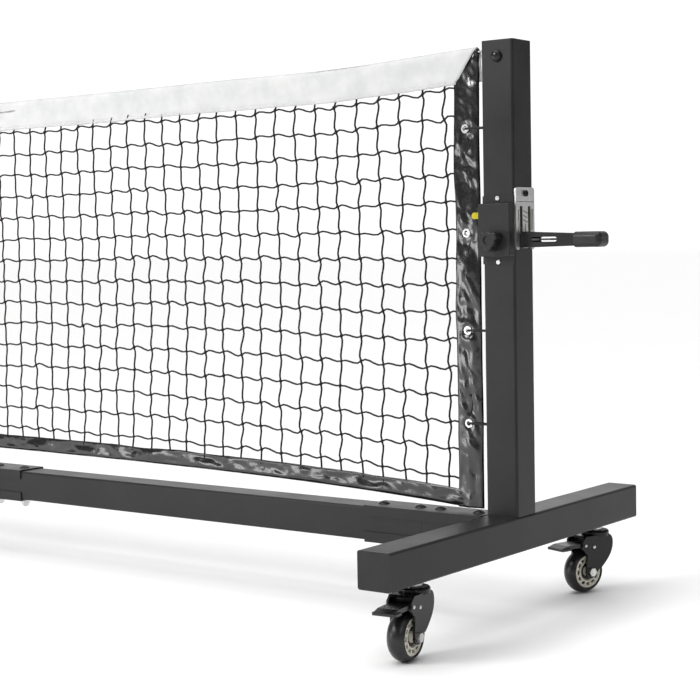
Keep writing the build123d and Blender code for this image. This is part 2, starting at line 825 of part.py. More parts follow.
with BuildPart() as stem:
    with BuildSketch(Plane.XZ):
        with BuildLine():
            Polyline(
                (0, crown_top - crown_height - 4), (10, crown_top - crown_height - 4),
                (10, crown_top - crown_height - 0.3), (king_r, crown_top - crown_height - 0.3),
                (king_r, crown_top + 0.3), (12, crown_top + 0.3), (12, crown_top + 3.5),
                (11, caster_height), (king_r, caster_height), (king_r, caster_height + 22),
                (0, caster_height + 22), close=True,
            )
        make_face()
    revolve(axis=Axis.Z)
    with BuildSketch(Plane.XY.offset(caster_height + wall)):
        RegularPolygon(9, 6, major_radius=False)
    extrude(amount=9)

with BuildPart() as fork:
    with BuildSketch(Plane.XY.offset(crown_top - crown_height)):
        Circle(crown_r)
    extrude(amount=crown_height)
    with BuildSketch(Plane.YZ):
        with BuildLine():
            front_foot = (-trail - 10.82, wheel_r - 2)
            back_foot = (-trail + 8.55, wheel_r - 6.92)
            Polyline(
                front_foot, (-36, 68), (pedal_y - ear, pedal_z - ear), (pedal_y - ear, pedal_z + ear),
                (-38, cowl_z), (cowl_y, cowl_z),
            )
            Spline(
                (cowl_y, cowl_z), (22, 87), (20, 72), (9, 55), (-7, 41), back_foot,
                tangents=((0.9, -0.4), (-0.68, -0.73)),
            )
            ThreePointArc(back_foot, (-trail, wheel_r - 11), front_foot)
        make_face()
    extrude(amount=leg_outer, both=True)
    fillet(fork.faces().sort_by(Axis.Z)[-1].edges(), 4)
    with BuildSketch(Plane.YZ):
        with Locations((-10, (crown_top - crown_height) / 2)):
            Rectangle(140, crown_top - crown_height)
    extrude(amount=leg_inner, both=True, mode=Mode.SUBTRACT)
    with BuildSketch(Plane.YZ):  # brake spring housing between the legs, over the wheel
        with Locations((-23, 88)):
            RectangleRounded(20, 17, 3)
    extrude(amount=leg_inner + 1, both=True)
    with BuildSketch(Plane.XY):
        Circle(king_r + 0.05)
    extrude(amount=crown_top + 1, mode=Mode.SUBTRACT)
    with BuildSketch(Plane.YZ):
        with Locations((-trail, wheel_r)):
            Circle(axle_r)
        with Locations((pedal_y, pedal_z)):
            Circle(pedal_pin_r + 0.05)
    extrude(amount=leg_outer + 5, both=True, mode=Mode.SUBTRACT)

with BuildPart() as axle:
    with BuildSketch(Plane.YZ.offset(-leg_outer - 6)):
        with Locations((-trail, wheel_r)):
            Circle(axle_r)
    extrude(amount=2 * leg_outer + 12)
    for start, depth in ((leg_outer, 5.5), (-leg_outer, -6.0)):
        with BuildSketch(Plane.YZ.offset(start)):
            with Locations((-trail, wheel_r)):
                RegularPolygon(6.5, 6, major_radius=False)
        extrude(amount=depth)

with BuildPart() as rim:
    with BuildSketch(wheel_plane):
        with BuildLine():
            Polyline(
                (-leg_inner + 0.3, axle_r + axle_gap), (-leg_inner + 0.3, 7), (-9, 9), (-9, 14.5),
                (-rim_half, 16), (-rim_half, rim_r), (rim_half, rim_r), (rim_half, 16),
                (9, 14.5), (9, 9), (leg_inner - 0.3, 7), (leg_inner - 0.3, axle_r + axle_gap),
                close=True,
            )
        make_face()
    revolve(axis=axle_axis)
    for side in (-1, 1):
        with BuildSketch(side_plane(side * rim_half, -trail, wheel_r)):
            with PolarLocations(21.4, 12):
                Rectangle(5.0, 7.5)
        extrude(amount=-side * 3.5, mode=Mode.SUBTRACT)

with BuildPart() as tyre:
    with BuildSketch(wheel_plane):
        with BuildLine():
            Line((-tyre_half + 3, rim_r), (tyre_half - 3, rim_r))
            Line((tyre_half - 3, rim_r), (tyre_half, rim_r + 2))
            ThreePointArc((tyre_half, rim_r + 2), (0, wheel_r), (-tyre_half, rim_r + 2))
            Line((-tyre_half, rim_r + 2), (-tyre_half + 3, rim_r))
        make_face()
    revolve(axis=axle_axis)

with BuildPart() as pedal:
    with BuildSketch(Plane.YZ):
        with Locations((pedal_y, pedal_z)):
            Circle(pedal_barrel_r)
    extrude(amount=leg_inner - 0.3, both=True)
    with BuildSketch(Plane.YZ):
        with Locations((pedal_y, pedal_z)):
            Circle(pedal_pin_r)
    extrude(amount=leg_outer, both=True)
    with BuildSketch(Plane.YZ):
        with BuildLine():
            FilletPolyline(
                (pedal_y, pedal_z + pedal_barrel_r), (-pedal_length + 14, pedal_z + 3),
                (-pedal_length, pedal_z - 1), (-pedal_length, pedal_z - 5),
                (-pedal_length + 26, pedal_z - 3), (pedal_y, pedal_z - pedal_barrel_r + 1),
                radius=1.5, close=True,
            )
        make_face()
    extrude(amount=leg_inner - 0.3, both=True)
    with BuildSketch(Plane.XY.offset(pedal_z - 5)):
        with Locations((0, -pedal_length + 10)):
            RectangleRounded(2 * pedal_half_width, 20, 3)
    extrude(amount=4)

with BuildPart() as caster_stems:
    with Locations(*[(x, y, 0) for x, y, swivel in caster_places]):
        add(stem.part)
save(caster_stems, "caster_stems")

for number, (x, y, swivel) in enumerate(caster_places, start=1):
    pieces = (("fork", fork), ("axle", axle), ("rim", rim), ("tyre", tyre), ("pedal", pedal))
    for name, source in pieces:
        with BuildPart() as placed:
            with Locations(Location((x, y, 0), (0, 0, swivel))):
                add(source.part)
        save(placed, f"caster_{name}_{number}")
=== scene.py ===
import json
import math
import random

import bpy
from mathutils import Matrix, Vector, noise


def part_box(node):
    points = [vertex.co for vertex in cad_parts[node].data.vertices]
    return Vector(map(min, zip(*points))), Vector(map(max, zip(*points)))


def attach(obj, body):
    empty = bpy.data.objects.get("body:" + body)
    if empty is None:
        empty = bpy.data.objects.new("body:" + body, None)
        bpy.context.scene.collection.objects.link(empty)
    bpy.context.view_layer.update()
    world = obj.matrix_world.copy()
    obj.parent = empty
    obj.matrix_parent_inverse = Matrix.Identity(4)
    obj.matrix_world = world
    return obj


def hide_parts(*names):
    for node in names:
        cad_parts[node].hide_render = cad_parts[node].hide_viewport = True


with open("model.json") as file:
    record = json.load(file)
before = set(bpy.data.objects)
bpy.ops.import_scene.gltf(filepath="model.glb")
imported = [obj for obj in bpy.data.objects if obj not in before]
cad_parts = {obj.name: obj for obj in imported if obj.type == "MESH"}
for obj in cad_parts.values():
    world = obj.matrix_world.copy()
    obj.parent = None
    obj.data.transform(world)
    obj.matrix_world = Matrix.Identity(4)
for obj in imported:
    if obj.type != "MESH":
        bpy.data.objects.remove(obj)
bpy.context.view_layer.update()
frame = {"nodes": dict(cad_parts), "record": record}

# ------------------------------------------------------------------ places from the frame
post_low, post_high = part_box("post_right")
post_left_low, post_left_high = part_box("post_left")
head_low, head_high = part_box("net_headband")
bottom_low, bottom_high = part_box("net_bottom_band")
NET_X = (head_low.x + head_high.x) / 2
NET_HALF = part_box("net_side_band_right")[1].x - NET_X
BAND_WIDTH = 0.044
HEADBAND = 0.056
BOTTOM_BAND = 0.028
TOP_END = head_high.z
TOP_MIDDLE = head_low.z + HEADBAND
BOTTOM_END = bottom_low.z
BOTTOM_MIDDLE = bottom_high.z - BOTTOM_BAND
APEX_INSET = 0.002
GROMMET_INSET = 0.026


# ------------------------------------------------------------------ materials
def shader(name, colour, rough, metal=0.0, **sockets):
    """New material with a Principled shader; returns it, its nodes, links and shader."""
    mat = bpy.data.materials.new(name)
    mat.use_nodes = True
    nodes, links = mat.node_tree.nodes, mat.node_tree.links
    bsdf = nodes["Principled BSDF"]
    bsdf.inputs["Base Color"].default_value = (*colour, 1)
    bsdf.inputs["Roughness"].default_value = rough
    bsdf.inputs["Metallic"].default_value = metal
    for key, value in sockets.items():
        bsdf.inputs[key.replace("_", " ")].default_value = value
    return mat, nodes, links, bsdf


def coordinates(nodes, links, stretch=(1, 1, 1)):
    """Object coordinates in metres, stretched."""
    place = nodes.new("ShaderNodeTexCoord")
    mapping = nodes.new("ShaderNodeMapping")
    mapping.inputs["Scale"].default_value = stretch
    links.new(place.outputs["Object"], mapping.inputs["Vector"])
    return mapping.outputs["Vector"]


def noise_node(nodes, links, vector, scale, detail=3.0, rough=0.5):
    tex = nodes.new("ShaderNodeTexNoise")
    tex.inputs["Scale"].default_value = scale
    tex.inputs["Detail"].default_value = detail
    tex.inputs["Roughness"].default_value = rough
    links.new(vector, tex.inputs["Vector"])
    return tex.outputs["Fac"]


def spread(nodes, links, fac, low, high, start=0.35, end=0.65):
    """Map a 0..1 factor to low..high."""
    node = nodes.new("ShaderNodeMapRange")
    node.inputs["From Min"].default_value = start
    node.inputs["From Max"].default_value = end
    node.inputs["To Min"].default_value = low
    node.inputs["To Max"].default_value = high
    links.new(fac, node.inputs["Value"])
    return node.outputs["Result"]


def tint(nodes, links, fac, first, second, start=0.35, end=0.65):
    """Blend between two colours by a factor."""
    ramp = nodes.new("ShaderNodeValToRGB")
    ramp.color_ramp.elements[0].position = start
    ramp.color_ramp.elements[1].position = end
    ramp.color_ramp.elements[0].color = (*first, 1)
    ramp.color_ramp.elements[1].color = (*second, 1)
    links.new(fac, ramp.inputs["Fac"])
    return ramp.outputs["Color"]


def bump(nodes, links, bsdf, height, strength, distance, under=None):
    node = nodes.new("ShaderNodeBump")
    node.inputs["Strength"].default_value = strength
    node.inputs["Distance"].default_value = distance
    links.new(height, node.inputs["Height"])
    if under:
        links.new(under, node.inputs["Normal"])
    links.new(node.outputs["Normal"], bsdf.inputs["Normal"])
    return node.outputs["Normal"]


def coated_metal(name, dark, light, rough, grain, strength):
    """Painted steel: fine orange peel, faint mottling and slightly varied gloss."""
    mat, nodes, links, bsdf = shader(name, dark, rough[0], Specular_IOR_Level=0.28)
    vec = coordinates(nodes, links)
    broad = noise_node(nodes, links, vec, 9.0, 4.0, 0.6)
    fine = noise_node(nodes, links, vec, grain, 2.0)
    links.new(tint(nodes, links, broad, dark, light), bsdf.inputs["Base Color"])
    links.new(spread(nodes, links, broad, *rough), bsdf.inputs["Roughness"])
    bump(nodes, links, bsdf, fine, strength, 0.0002)
    return mat


def plated_metal(name, dark, light, rough, stretch):
    """Zinc plate: drawn grain along one way and cloudy tone."""
    mat, nodes, links, bsdf = shader(name, dark, rough[0], 1.0)
    vec = coordinates(nodes, links, stretch)
    plain = coordinates(nodes, links)
    cloud = noise_node(nodes, links, plain, 60.0, 4.0, 0.6)
    grain = noise_node(nodes, links, vec, 900.0, 2.0)
    links.new(tint(nodes, links, cloud, dark, light), bsdf.inputs["Base Color"])
    links.new(spread(nodes, links, grain, *rough), bsdf.inputs["Roughness"])
    bump(nodes, links, bsdf, grain, 0.15, 0.0001)
    return mat


def moulded(name, dark, light, rough, grain=1400.0, strength=0.12, **sockets):
    """Moulded plastic or rubber: fine texture and slight mottling."""
    mat, nodes, links, bsdf = shader(name, dark, rough[0], **sockets)
    vec = coordinates(nodes, links)
    broad = noise_node(nodes, links, vec, 40.0, 3.0)
    fine = noise_node(nodes, links, vec, grain, 2.0)
    links.new(tint(nodes, links, broad, dark, light), bsdf.inputs["Base Color"])
    links.new(spread(nodes, links, broad, *rough), bsdf.inputs["Roughness"])
    bump(nodes, links, bsdf, fine, strength, 0.0002)
    return mat


def woven(name, dark, light, rough, pitch, **sockets):
    """Woven fabric: crossed ribs of the given pitch in metres."""
    mat, nodes, links, bsdf = shader(name, dark, rough[0], **sockets)
    vec = coordinates(nodes, links)
    ribs = []
    for axis in ("X", "Z"):
        wave = nodes.new("ShaderNodeTexWave")
        wave.bands_direction = axis
        wave.inputs["Scale"].default_value = 1 / pitch / 3.2
        wave.inputs["Distortion"].default_value = 1.2
        wave.inputs["Detail"].default_value = 2.0
        links.new(vec, wave.inputs["Vector"])
        ribs.append(wave.outputs["Fac"])
    both = nodes.new("ShaderNodeMath")
    both.operation = "MULTIPLY"
    links.new(ribs[0], both.inputs[0])
    links.new(ribs[1], both.inputs[1])
    broad = noise_node(nodes, links, vec, 22.0, 4.0, 0.6)
    links.new(tint(nodes, links, broad, dark, light), bsdf.inputs["Base Color"])
    links.new(spread(nodes, links, broad, *rough), bsdf.inputs["Roughness"])
    bump(nodes, links, bsdf, both.outputs[0], 0.3, pitch * 0.4)
    return mat


def crumpled_vinyl(name, dark, light, rough):
    """Glossy coated cloth with small creases over the modelled folds."""
    mat, nodes, links, bsdf = shader(name, dark, rough[0], Coat_Weight=0.5, Coat_Roughness=0.10)
    vec = coordinates(nodes, links)
    broad = noise_node(nodes, links, vec, 34.0, 4.0, 0.6)
    crease = noise_node(nodes, links, vec, 110.0, 5.0, 0.65)
    links.new(tint(nodes, links, broad, dark, light), bsdf.inputs["Base Color"])
    links.new(spread(nodes, links, crease, *rough), bsdf.inputs["Roughness"])
    bump(nodes, links, bsdf, crease, 0.16, 0.0015)
    return mat


MATERIALS = {
    "powder_coat": coated_metal("powder_coat", (0.012,) * 3, (0.018,) * 3, (0.34, 0.42), 1500.0, 0.25),
    "caster_steel": coated_metal("caster_steel", (0.008,) * 3, (0.012,) * 3, (0.18, 0.26), 900.0, 0.1),
    "lever_steel": coated_metal("lever_steel", (0.010,) * 3, (0.015,) * 3, (0.28, 0.36), 1100.0, 0.2),
    "black_hardware": coated_metal("black_hardware", (0.010,) * 3, (0.014,) * 3, (0.16, 0.24), 700.0, 0.1),
    "zinc_hardware": plated_metal("zinc_hardware", (0.55,) * 3, (0.72, 0.72, 0.70), (0.24, 0.36), (1, 1, 1)),
    "zinc_plate": plated_metal("zinc_plate", (0.56,) * 3, (0.68, 0.69, 0.68), (0.34, 0.46), (1, 1, 0.08)),
    "pawl_steel": plated_metal("pawl_steel", (0.06,) * 3, (0.10, 0.10, 0.09), (0.35, 0.5), (1, 1, 1)),
    "steel_cable": plated_metal("steel_cable", (0.28,) * 3, (0.42,) * 3, (0.35, 0.5), (0.2, 1, 1)),
    "rim_plastic": moulded(
        "rim_plastic", (0.66, 0.62, 0.52), (0.74, 0.70, 0.60), (0.30, 0.40), 900.0, 0.06,
        Subsurface_Weight=0.05,
    ),
    "tyre_rubber": moulded("tyre_rubber", (0.007,) * 3, (0.011,) * 3, (0.28, 0.40)),
    "pedal_plastic": moulded("pedal_plastic", (0.009,) * 3, (0.013,) * 3, (0.26, 0.38)),
    "black_plastic": moulded(
        "black_plastic", (0.009,) * 3, (0.014,) * 3, (0.34, 0.46), Specular_IOR_Level=0.35
    ),
    "pulley_plastic": moulded("pulley_plastic", (0.42,) * 3, (0.5,) * 3, (0.35, 0.45)),
    "grip_rubber": moulded(
        "grip_rubber", (0.010,) * 3, (0.016,) * 3, (0.34, 0.46), Specular_IOR_Level=0.4
    ),
    "yellow_webbing": woven("yellow_webbing", (0.72, 0.60, 0.02), (0.86, 0.76, 0.06), (0.6, 0.75), 0.0012),
    "white_tape": woven("white_tape", (0.55, 0.555, 0.56), (0.64, 0.64, 0.635), (0.42, 0.55), 0.0008),
    "black_vinyl": crumpled_vinyl("black_vinyl", (0.004,) * 3, (0.007,) * 3, (0.16, 0.26)),
    "net_cord": moulded(
        "net_cord", (0.006,) * 3, (0.011,) * 3, (0.55, 0.7), 2200.0, 0.4, Specular_IOR_Level=0.25
    ),
    "tie_cord": moulded(
        "tie_cord", (0.008,) * 3, (0.014,) * 3, (0.5, 0.65), 1800.0, 0.4, Specular_IOR_Level=0.3
    ),
}


for entry in frame["record"]["subparts"]:
    for material_slot in frame["nodes"][entry["node"]].material_slots:
        material_slot.material = MATERIALS[entry["material_slot"]]


# ------------------------------------------------------------------ camera, light, floor
CAMERA_OUT = Vector((1.327, -2.228, 0.609))  # from the post's outer face, on the floor
AZIMUTH, DROP, ROLL = (math.radians(a) for a in (36.87, 3.77, -1.06))
LENS = 84.6
ROOM, BACKDROP = 0.20, 1.08  # strength of the world away from the net and behind it
FLOOR_REACH = 60.0  # metres from the centre to each edge


def make_camera():
    ahead = Vector(
        (-math.sin(AZIMUTH) * math.cos(DROP), math.cos(AZIMUTH) * math.cos(DROP), -math.sin(DROP))
    )
    level = Vector((math.cos(AZIMUTH), math.sin(AZIMUTH), 0))
    upright = level.cross(ahead)
    right = level * math.cos(ROLL) + upright * math.sin(ROLL)
    up = -level * math.sin(ROLL) + upright * math.cos(ROLL)
    data = bpy.data.cameras.new("camera")
    data.lens = LENS
    data.sensor_width = 36.0
    camera = bpy.data.objects.new("camera", data)
    turn = Matrix((right, up, -ahead)).transposed()
    place = Vector((post_high.x, 0, 0)) + CAMERA_OUT
    camera.matrix_world = Matrix.Translation(place) @ turn.to_4x4()
    bpy.context.collection.objects.link(camera)
    bpy.context.scene.camera = camera


def make_light(name, place, aim, size, power):
    data = bpy.data.lights.new(name, "AREA")
    data.shape = "RECTANGLE"
    data.size, data.size_y = size
    data.energy = power
    lamp = bpy.data.objects.new(name, data)
    lamp.location = place
    lamp.rotation_euler = (Vector(aim) - Vector(place)).to_track_quat("-Z", "Y").to_euler()
    bpy.context.collection.objects.link(lamp)


def make_world():
    """A white wall of light behind the net as the camera sees it, and a dim room elsewhere."""
    world = bpy.data.worlds.new("studio")
    world.use_nodes = True
    nodes, links = world.node_tree.nodes, world.node_tree.links
    place = nodes.new("ShaderNodeTexCoord")
    toward = nodes.new("ShaderNodeVectorMath")
    toward.operation = "DOT_PRODUCT"
    toward.inputs[1].default_value = (-math.sin(AZIMUTH), math.cos(AZIMUTH), 0)
    links.new(place.outputs["Generated"], toward.inputs[0])
    fade = nodes.new("ShaderNodeMapRange")
    fade.interpolation_type = "SMOOTHSTEP"
    fade.inputs["From Min"].default_value = 0.45
    fade.inputs["From Max"].default_value = 0.88
    fade.inputs["To Min"].default_value = ROOM
    fade.inputs["To Max"].default_value = BACKDROP
    links.new(toward.outputs["Value"], fade.inputs["Value"])
    links.new(fade.outputs["Result"], nodes["Background"].inputs["Strength"])
    nodes["Background"].inputs["Color"].default_value = (1, 1, 1, 1)
    bpy.context.scene.world = world


def make_stage():
    make_world()
    right = post_high.x
    make_light("key", (right - 1.9, -3.2, 2.5), (right - 0.5, 0, 0.6), (1.3, 0.9), 78)
    make_light("strip", (right + 1.9, -1.9, 1.9), (right, 0, 0.5), (0.30, 1.3), 7)
    make_light("low", (right - 2.2, -2.2, 0.35), (right - 0.3, 0, 0.4), (0.9, 0.5), 10)
    sky = bpy.data.lights.new("sky", "SUN")
    sky.energy = 2.5
    sky.angle = math.radians(70)
    sky_lamp = bpy.data.objects.new("sky", sky)
    sky_lamp.rotation_euler = (math.radians(4), math.radians(-6), 0)
    bpy.context.collection.objects.link(sky_lamp)
    floor_mesh = bpy.data.meshes.new("floor")
    floor_mesh.from_pydata(
        [(sx * FLOOR_REACH, sy * FLOOR_REACH, 0) for sx, sy in ((-1, -1), (1, -1), (1, 1), (-1, 1))],
        [], [(0, 1, 2, 3)],
    )
    floor = bpy.data.objects.new("floor", floor_mesh)
    bpy.context.collection.objects.link(floor)
    mat, nodes, links, bsdf = shader("floor", (0.90, 0.90, 0.90), 0.85, Specular_IOR_Level=0.2)
    vec = coordinates(nodes, links)
    mottle = noise_node(nodes, links, vec, 3.0, 4.0)
    links.new(tint(nodes, links, mottle, (0.897,) * 3, (0.903,) * 3), bsdf.inputs["Base Color"])
    bump(nodes, links, bsdf, noise_node(nodes, links, vec, 500.0), 0.1, 0.0004)
    floor_mesh.materials.append(mat)
    bpy.context.scene.view_settings.view_transform = "Standard"


make_camera()
make_stage()


# ------------------------------------------------------------------ the net's outline
def add_mesh(name, verts, faces, slot, smooth=True):
    mesh = bpy.data.meshes.new(name)
    mesh.from_pydata(verts, [], faces)
    mesh.update()
    if smooth:
        mesh.polygons.foreach_set("use_smooth", [True] * len(mesh.polygons))
    obj = bpy.data.objects.new(name, mesh)
    bpy.context.collection.objects.link(obj)
    mesh.materials.append(MATERIALS[slot])
    return obj


def top_line(x):
    """Height of the net's top edge: the cable's sag, a little slack by each end and full farther in."""
    share = (x - NET_X) / NET_HALF
    inward = NET_HALF - abs(x - NET_X)
    dip = 0.006 * math.exp(-(((inward - 0.28) / 0.2) ** 2))
    swell = 0.014 * math.exp(-(((inward - 1.35) / 0.55) ** 2))
    return TOP_MIDDLE + (TOP_END - TOP_MIDDLE) * share * share - dip + swell


def bottom_line(x):
    """Height of the bottom band's lower edge, which climbs away from both ends."""
    inward = NET_HALF - BAND_WIDTH - abs(x - NET_X)
    rise = BOTTOM_MIDDLE - BOTTOM_END
    return BOTTOM_END + rise * (1 - math.exp(-max(inward, 0) / 0.4))


def rumple(x, z, scale, seed, octaves=2):
    """Smooth noise from -1 to 1 over the net's plane."""
    total, size = 0.0, 1.0
    for i in range(octaves):
        total += size * noise.noise(Vector((x * scale, z * scale, seed + 7.3 * i)))
        scale *= 2.1
        size *= 0.5
    return total


# ------------------------------------------------------------------ knotted cord net
CELL = 0.0443
ROWS = 15
CORD_R = 0.00165
KNOT_R = 0.0030
KNOT_JITTER = 0.0024  # how far a knot strays from its even place, each way
STEPS = 5  # lengths between two knots
SIDES = 6


def net_grid():
    """Knot positions [column][row], a little uneven as a hanging net is."""
    rng = random.Random(3)
    span = 2 * (NET_HALF - BAND_WIDTH / 2)
    columns = round(span / CELL)
    grid = []
    for i in range(columns + 1):
        x0 = NET_X - span / 2 + span * i / columns
        column = []
        for j in range(ROWS):
            share = j / (ROWS - 1)
            drift = 0.011 * rumple(x0, share, 0.9, 11.0, 1)
            x = x0 + drift * math.sin(math.pi * share) + rng.uniform(-KNOT_JITTER, KNOT_JITTER)
            top = top_line(x) - HEADBAND - 0.007
            low = bottom_line(x) + BOTTOM_BAND + 0.018
            z = top + (low - top) * share + rng.uniform(-KNOT_JITTER, KNOT_JITTER)
            z += 0.004 * rumple(x, z, 5.0, 2.0, 1)
            y = 0.0016 * rumple(x, z, 2.0, 5.0)
            column.append(Vector((x, y, z)))
        grid.append(column)
    return grid


def bent_run(start, end, turn_start, turn_end, ease=1.15):
    """Points from start to end, leaving and arriving turned in the net's plane."""
    chord = end - start
    points = []
    leave = Matrix.Rotation(turn_start, 3, "Y") @ chord * ease
    arrive = Matrix.Rotation(turn_end, 3, "Y") @ chord * ease
    for k in range(STEPS + 1):
        t = k / STEPS
        t2, t3 = t * t, t * t * t
        points.append(
            start * (2 * t3 - 3 * t2 + 1) + leave * (t3 - 2 * t2 + t)
            + end * (3 * t2 - 2 * t3) + arrive * (t3 - t2)
        )
    return points


def tube(verts, faces, points, radius):
    """Round tube along points that lie near the XZ plane, added to verts and faces."""
    first = len(verts)
    across = Vector((0, 1, 0))
    count = len(points)
    for k, point in enumerate(points):
        ahead = points[min(k + 1, count - 1)] - points[max(k - 1, 0)]
        ahead.normalize()
        aside = ahead.cross(across).normalized()
        for s in range(SIDES):
            angle = 2 * math.pi * s / SIDES
            verts.append(point + (across * math.cos(angle) + aside * math.sin(angle)) * radius)
    for k in range(count - 1):
        for s in range(SIDES):
            a = first + k * SIDES + s
            b = first + k * SIDES + (s + 1) % SIDES
            faces.append((a, b, b + SIDES, a + SIDES))
    faces.append(tuple(first + s for s in range(SIDES))[::-1])
    last = first + (count - 1) * SIDES
    faces.append(tuple(last + s for s in range(SIDES)))


def knot_turn(knot, rng):
    """How far a knot is twisted in the net's plane: more where the net is slack, near its ends."""
    slack = min(1.0, abs(knot.x - NET_X) / NET_HALF)
    return -(0.30 + 0.32 * slack**3) + rng.gauss(0, 0.13) + 0.14 * rumple(knot.x, knot.z, 3.0, 13.0)


def make_net():
    grid = net_grid()
    rng = random.Random(8)
    turns = [[knot_turn(knot, rng) for knot in column] for column in grid]
    parts = []
    verts, faces = [], []
    for i, column in enumerate(grid):
        stub = column[0] + Vector((rng.uniform(0.002, 0.008), -0.001, 0.013))
        run = [stub]
        for j in range(ROWS - 1):
            run += bent_run(column[j], column[j + 1], 0.8 * turns[i][j], 0.8 * turns[i][j + 1])[:-1]
        run += [column[-1], column[-1] + Vector((rng.uniform(-0.005, 0.003), 0, -0.026))]
        tube(verts, faces, run, CORD_R)
    parts.append(add_mesh("net_cords_down", verts, faces, "net_cord"))
    verts, faces = [], []
    for j in range(ROWS):
        run = []
        for i in range(len(grid) - 1):
            run += bent_run(grid[i][j], grid[i + 1][j], turns[i][j], turns[i + 1][j])[:-1]
        run.append(grid[-1][j])
        tube(verts, faces, run, CORD_R)
    parts.append(add_mesh("net_cords_across", verts, faces, "net_cord"))
    verts, faces = [], []
    for column in grid:
        for knot in column:
            add_knot(verts, faces, knot, rng)
    parts.append(add_mesh("net_knots", verts, faces, "net_cord"))
    for part in parts:
        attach(part, "frame")
    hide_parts("net_mesh")


def add_knot(verts, faces, centre, rng):
    """A small uneven knot: a squashed octahedron, each face cut into four."""
    turn = Matrix.Rotation(rng.uniform(0, math.pi), 3, "Y")
    size = KNOT_R * rng.uniform(0.85, 1.15)
    stretch = Vector((1.25, 1.0, 0.9))
    first = len(verts)
    corners = [Vector(c) for c in
               ((1, 0, 0), (-1, 0, 0), (0, 1, 0), (0, -1, 0), (0, 0, 1), (0, 0, -1))]
    triangles = [(0, 2, 4), (2, 1, 4), (1, 3, 4), (3, 0, 4), (2, 0, 5), (1, 2, 5), (3, 1, 5), (0, 3, 5)]
    middles = {}

    def middle(a, b):
        key = (min(a, b), max(a, b))
        if key not in middles:
            middles[key] = len(corners)
            corners.append((corners[a] + corners[b]).normalized())
        return middles[key]

    for a, b, c in triangles:
        ab, bc, ca = middle(a, b), middle(b, c), middle(c, a)
        faces += [tuple(first + k for k in t) for t in ((a, ab, ca), (ab, b, bc), (ca, bc, c), (ab, bc, ca))]
    for corner in corners:
        shaped = Vector((corner.x * stretch.x, corner.y * stretch.y, corner.z * stretch.z))
        verts.append(centre + turn @ shaped * size)


make_net()


# ------------------------------------------------------------------ sewn bands
def folded_sheet(name, slot, stations, profile, place, thickness, nodes, skip=None):
    """Cloth folded over on itself: place(station, p) gives a point for each profile value."""
    verts = [place(s, p) for s in stations for p in profile]
    width = len(profile)
    faces = []
    for i in range(len(stations) - 1):
        for k in range(width - 1):
            a = i * width + k
            quad = (a, a + 1, a + width + 1, a + width)
            if skip and skip(sum((verts[q] for q in quad), Vector()) / 4):
                continue
            faces.append(quad)
    sheet = add_mesh(name, verts, faces, slot)
    solid = sheet.modifiers.new("thickness", "SOLIDIFY")
    solid.thickness = thickness
    solid.offset = 0
    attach(sheet, "frame")
    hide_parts(*nodes)


def steps(low, high, size):
    count = max(2, round((high - low) / size))
    return [low + (high - low) * i / count for i in range(count + 1)]


def make_headband():
    """White tape folded over the cable: profile -1 is the front hem, 0 the fold, 1 the back hem."""
    profile = [p / 12 for p in range(-12, 13)]
    ends = NET_HALF - APEX_INSET

    def place(x, p):
        down = abs(p)
        front = -1 if p < 0 else 1
        inset = (BAND_WIDTH - APEX_INSET) * down if p < 0 else -0.006 * min(1, down * 4)
        x = NET_X + (x - NET_X) * (1 - inset / ends)
        depth = HEADBAND * down
        roll = 0.0042 * math.sqrt(max(0.0, 1 - (max(0, 0.16 - down) / 0.16) ** 2))
        gap = 0.0016 + (roll - 0.0016) * max(0.0, 1 - abs(down - 0.14) / 0.5)
        if down < 0.14:
            gap = roll
        free = math.sin(math.pi * min(1, down * 1.08)) ** 0.7 if down > 0 else 0
        folds = 0.0034 * rumple(x * 0.55 + 0.5 * depth, depth * 2.4, 9.0, 20.0 + front)
        folds += 0.0017 * rumple(x * 0.8 + depth, depth * 1.7, 30.0, 31.0 + front)
        hem = 0.0007 * math.sin(x * 260) * max(0, down - 0.75) * 4
        y = front * gap + folds * free + hem
        z = top_line(x) - depth + 0.0016 * rumple(x, 0.0, 6.0, 44.0) * down
        return Vector((x, y, z - 0.001 * (1 - down)))

    folded_sheet(
        "headband", "white_tape", steps(NET_X - ends, NET_X + ends, 0.007), profile, place,
        0.0007, ["net_headband"],
    )


GROMMET_Z = (0.785, 0.619, 0.463, 0.313)
GROMMETS = [
    (NET_X + side * (NET_HALF - GROMMET_INSET), z) for side in (-1, 1) for z in GROMMET_Z
]
GROMMET_HOLE = 0.0046


def near_grommet(point):
    return any(
        (Vector((point.x, 0, point.z)) - Vector((gx, 0, gz))).length < GROMMET_HOLE
        for gx, gz in GROMMETS
    )


